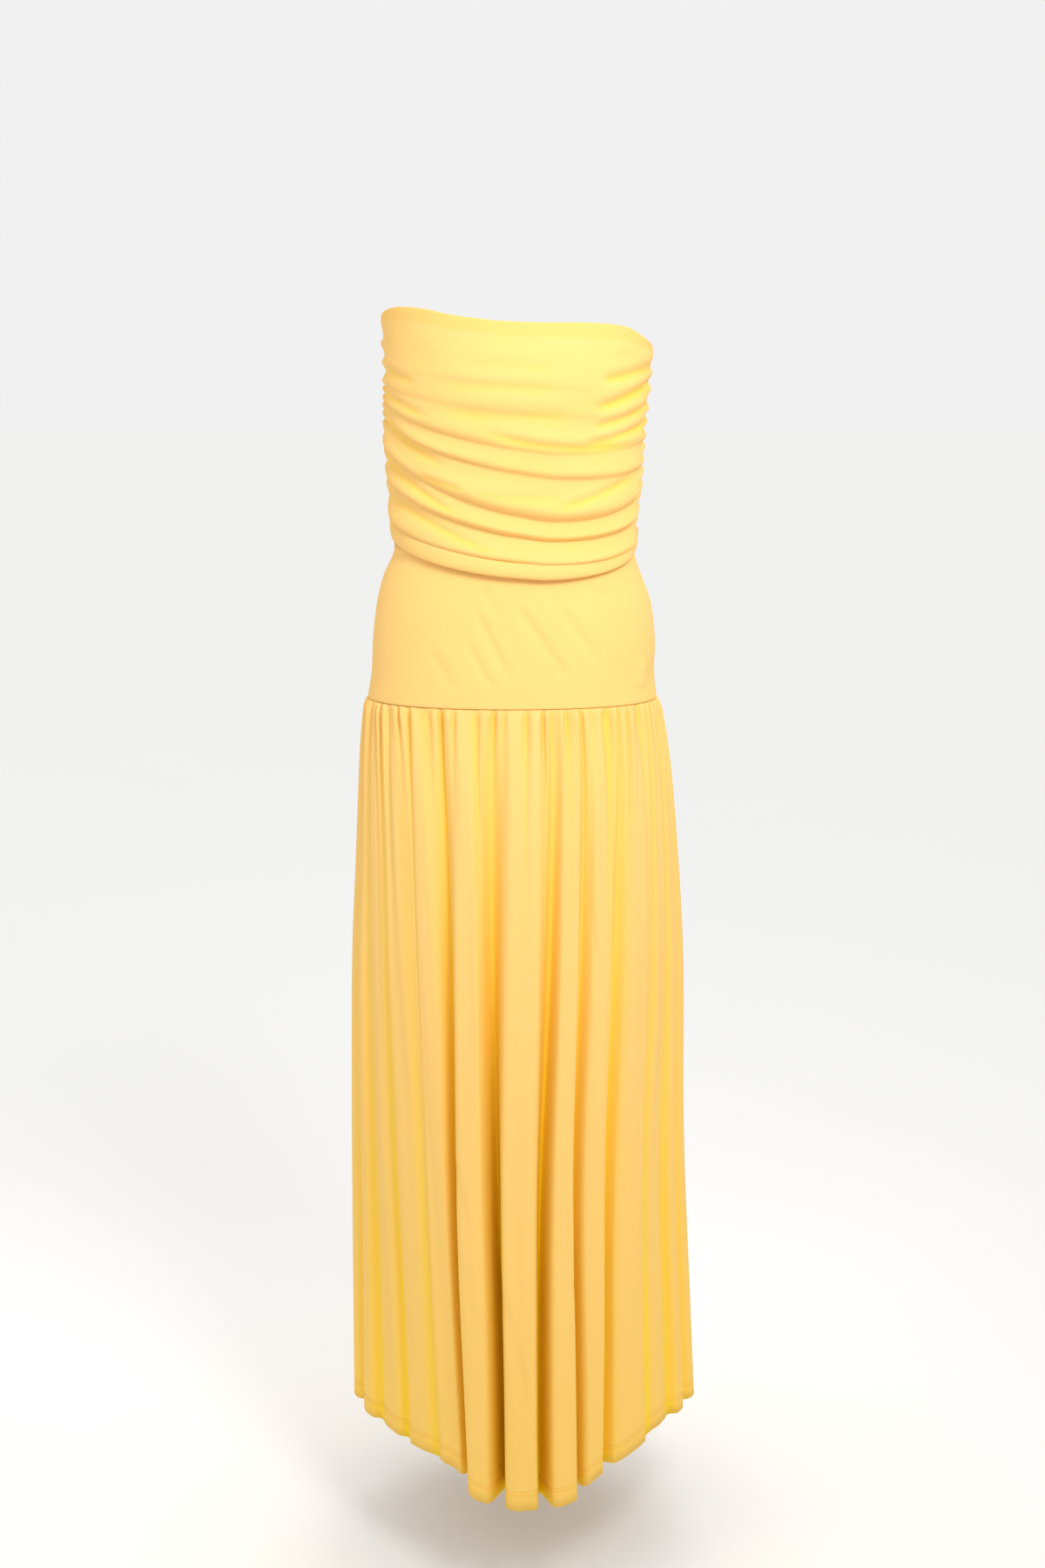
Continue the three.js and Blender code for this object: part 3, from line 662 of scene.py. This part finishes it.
def stitch_tree():
    """Geometry nodes that lay a line of stitches along the edges that come in."""
    tree = bpy.data.node_groups.new("Line of stitches", "GeometryNodeTree")
    face = tree.interface
    face.new_socket("Geometry", in_out="INPUT", socket_type="NodeSocketGeometry")
    for name, default in (("Pitch", 0.0032), ("Stitch length", 0.0026), ("Stitch width", 0.0006)):
        socket = face.new_socket(name, in_out="INPUT", socket_type="NodeSocketFloat")
        socket.default_value = default
        socket.subtype = "DISTANCE"
    face.new_socket("Thread", in_out="INPUT", socket_type="NodeSocketMaterial")
    face.new_socket("Geometry", in_out="OUTPUT", socket_type="NodeSocketGeometry")

    def node(kind, **settings):
        made = tree.nodes.new(kind)
        for key, value in settings.items():
            setattr(made, key, value)
        return made

    link = tree.links.new
    given = node("NodeGroupInput")
    path = node("GeometryNodeMeshToCurve")
    points = node("GeometryNodeCurveToPoints", mode="LENGTH")
    bead = node("GeometryNodeMeshUVSphere")
    bead.inputs["Segments"].default_value = 6
    bead.inputs["Rings"].default_value = 4
    bead.inputs["Radius"].default_value = 0.5
    size = node("ShaderNodeCombineXYZ")
    shaped = node("GeometryNodeTransform")
    placed = node("GeometryNodeInstanceOnPoints")
    real = node("GeometryNodeRealizeInstances")
    painted = node("GeometryNodeSetMaterial")
    result = node("NodeGroupOutput")
    link(given.outputs["Geometry"], path.inputs["Mesh"])
    link(path.outputs["Curve"], points.inputs["Curve"])
    link(given.outputs["Pitch"], points.inputs["Length"])
    for axis in ("X", "Y"):
        link(given.outputs["Stitch width"], size.inputs[axis])
    link(given.outputs["Stitch length"], size.inputs["Z"])
    link(bead.outputs["Mesh"], shaped.inputs["Geometry"])
    link(size.outputs["Vector"], shaped.inputs["Scale"])
    link(points.outputs["Points"], placed.inputs["Points"])
    link(points.outputs["Rotation"], placed.inputs["Rotation"])
    link(shaped.outputs["Geometry"], placed.inputs["Instance"])
    link(placed.outputs["Instances"], real.inputs["Geometry"])
    link(real.outputs["Geometry"], painted.inputs["Geometry"])
    link(given.outputs["Thread"], painted.inputs["Material"])
    link(painted.outputs["Geometry"], result.inputs["Geometry"])
    return tree


def stitching(name, lines, sizes, thread):
    """A piece of stitches along lines of points in millimetres."""
    points = [p for line in lines for p in (line * MM).tolist()]
    edges, first = [], 0
    for line in lines:
        edges += [(first + i, first + i + 1) for i in range(len(line) - 1)]
        first += len(line)
    mesh = bpy.data.meshes.new(name)
    mesh.from_pydata(points, edges, [])
    piece = bpy.data.objects.new(name, mesh)
    bpy.context.scene.collection.objects.link(piece)
    tree = bpy.data.node_groups.get("Line of stitches") or stitch_tree()
    sewn = piece.modifiers.new("Stitches", "NODES")
    sewn.node_group = tree
    given = [item for item in tree.interface.items_tree if item.in_out == "INPUT"]
    inputs = {item.name: item.identifier for item in given}
    sewn[inputs["Pitch"]] = sizes.stitch_pitch
    sewn[inputs["Stitch length"]] = sizes.stitch_length
    sewn[inputs["Stitch width"]] = sizes.stitch_width
    sewn[inputs["Thread"]] = thread
    settle(piece)
    piece.data.shade_smooth()
    return piece


def lifted(grid_row, above_row, by):
    """A row of cloth points moved off the cloth, square to it."""
    along_row = np.gradient(grid_row, axis=0)
    outward = np.cross(grid_row - above_row, along_row)
    return grid_row + by * outward / np.linalg.norm(outward, axis=1, keepdims=True)


# ------------------------------------------------------------------ materials


class Signal:
    """A number that varies over a surface, written in Python arithmetic."""

    def __init__(self, shader, socket):
        self.shader, self.socket = shader, socket

    def _with(self, operation, other, swapped=False):
        pair = (other, self) if swapped else (self, other)
        return self.shader.math(operation, *pair)

    def __add__(self, other):
        return self._with("ADD", other)

    __radd__ = __add__

    def __sub__(self, other):
        return self._with("SUBTRACT", other)

    def __rsub__(self, other):
        return self._with("SUBTRACT", other, True)

    def __mul__(self, other):
        return self._with("MULTIPLY", other)

    __rmul__ = __mul__


class Made:
    """A node that was just made, whose outputs are read as signals or sockets."""

    def __init__(self, shader, node):
        self.shader, self.node = shader, node

    def out(self, name):
        return self.node.outputs[name]

    def signal(self, name):
        return Signal(self.shader, self.node.outputs[name])


class Shader:
    """One material's node tree."""

    def __init__(self, name):
        self.material = bpy.data.materials.new(name)
        self.material.use_nodes = True
        self.tree = self.material.node_tree
        self.tree.nodes.clear()

    def node(self, kind, settings=None, sockets=None):
        made = self.tree.nodes.new(kind)
        for key, value in (settings or {}).items():
            setattr(made, key, value)
        for key, value in (sockets or {}).items():
            if isinstance(value, Signal):
                value = value.socket
            if isinstance(value, bpy.types.NodeSocket):
                self.tree.links.new(value, made.inputs[key])
            else:
                made.inputs[key].default_value = value
        return Made(self, made)

    def math(self, operation, *values):
        sockets = dict(enumerate(values))
        return self.node("ShaderNodeMath", dict(operation=operation), sockets).signal("Value")

    def noise(self, vector, scale, detail=2.0):
        sockets = {"Vector": vector, "Scale": scale, "Detail": detail}
        return self.node("ShaderNodeTexNoise", None, sockets).signal("Fac")

    def bump(self, height, strength, distance, normal=None):
        sockets = {"Height": height, "Strength": strength, "Distance": distance}
        if normal is not None:
            sockets["Normal"] = normal
        return self.node("ShaderNodeBump", None, sockets).out("Normal")

    def blend(self, factor, a, b):
        """Mixes two colours by a signal."""
        mixer = self.node("ShaderNodeMix", dict(data_type="RGBA"), {"Factor": factor})
        for socket, value in ((mixer.node.inputs[6], a), (mixer.node.inputs[7], b)):
            if isinstance(value, bpy.types.NodeSocket):
                self.tree.links.new(value, socket)
            else:
                socket.default_value = value
        return mixer.node.outputs[2]


# In metres.
WALE = 0.0009  # width of one column of knit loops
COURSE = 0.0007  # height of one row of loops
KNIT_RELIEF = 0.00012  # depth of the loops
SOFT_RELIEF = 0.0012  # depth of the cloth's faint waviness
THREAD_RELIEF = 0.0001  # depth of the thread's twist


def jersey_material(colours):
    shader = Shader("Jersey")
    uv = shader.node("ShaderNodeUVMap", dict(uv_map="Cloth")).out("UV")
    split = shader.node("ShaderNodeSeparateXYZ", None, {"Vector": uv})
    place = shader.node("ShaderNodeTexCoord").out("Object")
    wales = shader.math("SINE", split.signal("X") * (2 * math.pi / WALE))
    courses = shader.math("SINE", split.signal("Y") * (2 * math.pi / COURSE))
    knit = wales * 0.6 + wales * courses * 0.4
    slub = shader.noise(uv, 240.0, 3.0)
    cloudy = shader.noise(place, 5.5, 3.0)
    doubled = shader.node("ShaderNodeAttribute", dict(attribute_name="doubled")).signal("Fac")
    fold_depth_and_shade = shader.node("ShaderNodeAttribute", dict(attribute_name="fold_depth_and_shade")).signal("Fac")

    body = shader.blend(cloudy * 0.7 + slub * 0.3, tuple(colours.cloth), tuple(colours.cloth_pale))
    body = shader.blend(doubled * 0.35, body, tuple(colours.cloth_doubled))
    # Painted shade: a deeper, saturated orange down in the folds and creases, and more towards the
    # hem.
    body = shader.blend(fold_depth_and_shade, body, tuple(colours.cloth_painted_fold_shade))
    body = shader.blend(0.06 - 0.06 * knit, body, tuple(colours.cloth_shade))

    fine = shader.bump(knit + slub * 0.8, 0.5, KNIT_RELIEF)
    relief = shader.bump(shader.noise(place, 34.0, 2.0), 0.5, SOFT_RELIEF, fine)
    surface = shader.node(
        "ShaderNodeBsdfPrincipled",
        None,
        {
            "Base Color": body,
            "Roughness": 0.9 - 0.06 * slub,
            "Normal": relief,
            "Specular IOR Level": 0.08,
            "Sheen Weight": 0.04,
            "Sheen Roughness": 0.45,
        },
    )
    shader.node("ShaderNodeOutputMaterial", None, {"Surface": surface.out("BSDF")})
    return shader.material


def thread_material(colours):
    shader = Shader("Thread")
    place = shader.node("ShaderNodeTexCoord").out("Object")
    twist = shader.noise(place, 1400.0, 1.0)
    colour = shader.blend(twist, tuple(colours.thread), tuple(colours.cloth_shade))
    surface = shader.node(
        "ShaderNodeBsdfPrincipled",
        None,
        {
            "Base Color": colour,
            "Roughness": 0.62 + 0.1 * twist,
            "Normal": shader.bump(twist, 0.4, THREAD_RELIEF),
            "Sheen Weight": 0.1,
        },
    )
    shader.node("ShaderNodeOutputMaterial", None, {"Surface": surface.out("BSDF")})
    return shader.material


def floor_material(colours):
    shader = Shader("Studio floor")
    place = shader.node("ShaderNodeTexCoord").out("Object")
    grain = shader.noise(place, 3.0, 4.0)
    pale = tuple(colours.floor)
    dull = tuple(0.97 * c for c in pale[:3]) + (1.0,)
    surface = shader.node(
        "ShaderNodeBsdfPrincipled",
        None,
        {
            "Base Color": shader.blend(grain * 0.4, pale, dull),
            "Roughness": 0.85,
            "Specular IOR Level": 0.1,
            "Emission Color": (1.0, 1.0, 1.0, 1.0),
            "Emission Strength": FLOOR_GLOW,
        },
    )
    shader.node("ShaderNodeOutputMaterial", None, {"Surface": surface.out("BSDF")})
    return shader.material


def material(name, make, colours):
    """A material, made the first time it is asked for."""
    return bpy.data.materials.get(name) or make(colours)


# ------------------------------------------------------------------ what a user may change


def length(name, description, default):
    """A property that holds one length."""
    return bpy.props.FloatProperty(
        name=name, description=description, default=default, min=0, unit="LENGTH"
    )


def colour(name, description, default):
    """A property that holds one colour."""
    return bpy.props.FloatVectorProperty(
        name=name, description=description, default=default, size=4, min=0, max=1, subtype="COLOR"
    )


class DressSizes(bpy.types.PropertyGroup):
    """Sizes that can be changed without a new pattern."""

    cloth_thickness: length("Cloth thickness", "Thickness of the jersey", 0.0012)
    stitch_pitch: length("Stitch pitch", "From one stitch to the next", 0.0032)
    stitch_length: length("Stitch length", "Length of one stitch that shows", 0.0026)
    stitch_width: length("Stitch width", "Width of the thread", 0.0006)


class DressColours(bpy.types.PropertyGroup):
    """Colours of the cloth, its thread and the stage."""

    cloth: colour("Cloth", "The jersey's main yellow", (0.93, 0.60, 0.215, 1.0))
    cloth_pale: colour("Pale cloth", "The paler clouds in it", (0.94, 0.625, 0.245, 1.0))
    cloth_doubled: colour("Doubled cloth", "The tone where it lies double", (0.92, 0.55, 0.14, 1.0))
    # Painted shade: the saturated orange of the shade down in the folds, and towards the hem.
    cloth_painted_fold_shade: colour("Painted fold shade", "The deeper tone down in the folds", (1.0, 0.70, 0.0, 1.0))
    cloth_shade: colour("Knit shade", "The tone between the knit's loops", (0.89, 0.50, 0.10, 1.0))
    thread: colour("Thread", "The sewing thread", (0.94, 0.61, 0.19, 1.0))
    floor: colour("Floor", "The plain pale floor", (0.90, 0.90, 0.89, 1.0))


# ------------------------------------------------------------------ operators


def declare(piece, node):
    """Hangs a sheet of cloth on the body and hides the CAD part it stands for."""
    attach(piece, BODY)
    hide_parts(node)


class DRESS_OT_bodice(bpy.types.Operator):
    """Make the ruched bodice, front and back"""

    bl_idname = "dress.bodice"
    bl_label = "Bodice"

    def execute(self, context):
        sizes, colours = context.scene.dress_sizes, context.scene.dress_colours
        jersey = material("Jersey", jersey_material, colours)
        for side in SIDES:
            grid, marks = bodice_grid(side)
            piece = cloth_mesh(f"ruched_bodice_{side}", grid, marks, sizes.cloth_thickness, jersey)
            declare(piece, f"bodice_{side}")
        return {"FINISHED"}


class DRESS_OT_yoke(bpy.types.Operator):
    """Make the fitted hip yoke, front and back"""

    bl_idname = "dress.yoke"
    bl_label = "Hip yoke"

    def execute(self, context):
        sizes, colours = context.scene.dress_sizes, context.scene.dress_colours
        jersey = material("Jersey", jersey_material, colours)
        for side in SIDES:
            grid, marks = yoke_grid(side)
            piece = cloth_mesh(f"hip_yoke_{side}", grid, marks, sizes.cloth_thickness, jersey)
            declare(piece, f"yoke_{side}")
        return {"FINISHED"}


class DRESS_OT_skirt(bpy.types.Operator):
    """Make the gathered skirt, front and back, with its hem's twin-needle stitching"""

    bl_idname = "dress.skirt"
    bl_label = "Gathered skirt"

    def execute(self, context):
        sizes, colours = context.scene.dress_sizes, context.scene.dress_colours
        jersey = material("Jersey", jersey_material, colours)
        thread = material("Thread", thread_material, colours)
        for side in SIDES:
            grid, marks = skirt_grid(side)
            piece = cloth_mesh(f"gathered_skirt_{side}", grid, marks, sizes.cloth_thickness, jersey)
            lines = []
            for above in HEM_LINES:
                share = 1 - np.array([above + 2, above]) / SKIRT_LENGTH
                higher, on_line = skirt_surface(side, share)[0]
                lines.append(lifted(on_line, higher, STITCH_LIFT))
            sewn = stitching(f"hem_stitching_{side}", lines, sizes, thread)
            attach(sewn, BODY)
            declare(piece, f"skirt_{side}")
        return {"FINISHED"}


# The stage, in metres.
CAMERA_HEIGHT = -0.028
CAMERA_ACROSS = 0.008
CAMERA_DISTANCE = 2.72
CAMERA_PITCH = 10.12  # degrees down
CAMERA_LENS = 56  # millimetres
CAMERA_SENSOR = 36  # millimetres, along the frame's longer side
FLOOR_LEVEL = -1.385
FLOOR_REACH = 40.0
FLOOR_GLOW = 0.075  # keeps the far floor as pale as the studio's walls

# Soft round lights: place and width in metres, power in watts, spread in degrees.
LIGHTS = [
    dict(name="Key", place=(0.6, -1.45, 0.85), size=0.7, power=3.0, spread=70),
    dict(name="Fill", place=(-1.6, -1.0, 0.7), size=0.8, power=0.6, spread=90),
    dict(name="Back", place=(0.3, 1.5, 0.9), size=1.0, power=2.2, spread=90),
]
LIGHT_AIM = (0.0, 0.0, -0.2)
SKY_STRENGTH = 0.74


class DRESS_OT_stage(bpy.types.Operator):
    """Make the pale floor, the soft lights and the camera"""

    bl_idname = "dress.stage"
    bl_label = "Stage"

    def execute(self, context):
        scene = context.scene
        mesh = bpy.data.meshes.new("studio_floor")
        corners = [(-1, -1), (1, -1), (1, 1), (-1, 1)]
        points = [(x * FLOOR_REACH, y * FLOOR_REACH, FLOOR_LEVEL) for x, y in corners]
        mesh.from_pydata(points, [], [(0, 1, 2, 3)])
        mesh.materials.append(material("Studio floor", floor_material, scene.dress_colours))
        floor = bpy.data.objects.new("studio_floor", mesh)
        scene.collection.objects.link(floor)

        for light in LIGHTS:
            data = bpy.data.lights.new(light["name"], "AREA")
            data.shape = "DISK"
            data.size = light["size"]
            data.spread = math.radians(light["spread"])
            data.energy = light["power"]
            lamp = bpy.data.objects.new(light["name"], data)
            lamp.location = light["place"]
            toward = np.array(LIGHT_AIM) - np.array(light["place"])
            lamp.rotation_euler = (
                math.atan2(math.hypot(toward[0], toward[1]), -toward[2]),
                0,
                math.atan2(-toward[0], toward[1]),
            )
            scene.collection.objects.link(lamp)

        world = bpy.data.worlds.new("Studio")
        world.use_nodes = True
        sky = world.node_tree.nodes["Background"]
        sky.inputs["Color"].default_value = (1.0, 1.0, 1.0, 1.0)
        sky.inputs["Strength"].default_value = SKY_STRENGTH
        scene.world = world
        scene.view_settings.view_transform = "Standard"
        scene.view_settings.look = "Medium High Contrast"

        data = bpy.data.cameras.new("Camera")
        data.lens = CAMERA_LENS
        data.sensor_width = CAMERA_SENSOR
        camera = bpy.data.objects.new("Camera", data)
        camera.location = (CAMERA_ACROSS, -CAMERA_DISTANCE, CAMERA_HEIGHT)
        camera.rotation_euler = (math.radians(90 - CAMERA_PITCH), 0, 0)
        scene.collection.objects.link(camera)
        scene.camera = camera
        return {"FINISHED"}


STEPS = (DRESS_OT_stage, DRESS_OT_bodice, DRESS_OT_yoke, DRESS_OT_skirt)


class DRESS_PT_sidebar(bpy.types.Panel):
    """Lists what builds the dress, in order, and what can be changed"""

    bl_idname = "DRESS_PT_sidebar"
    bl_label = "Dress"
    bl_space_type = "VIEW_3D"
    bl_region_type = "UI"
    bl_category = "Dress"

    def draw(self, context):
        for group in (context.scene.dress_sizes, context.scene.dress_colours):
            for name in group.__annotations__:
                self.layout.prop(group, name)
        for step in STEPS:
            self.layout.operator(step.bl_idname)


CLASSES = (DressSizes, DressColours, *STEPS, DRESS_PT_sidebar)


def register():
    for cls in CLASSES:
        bpy.utils.register_class(cls)
    bpy.types.Scene.dress_sizes = bpy.props.PointerProperty(type=DressSizes)
    bpy.types.Scene.dress_colours = bpy.props.PointerProperty(type=DressColours)


def unregister():
    del bpy.types.Scene.dress_sizes
    del bpy.types.Scene.dress_colours
    for cls in reversed(CLASSES):
        bpy.utils.unregister_class(cls)


def main():
    register()
    bpy.ops.dress.stage()
    bpy.ops.dress.bodice()
    bpy.ops.dress.yoke()
    bpy.ops.dress.skirt()
    bpy.context.view_layer.update()


if __name__ == "__main__":
    main()
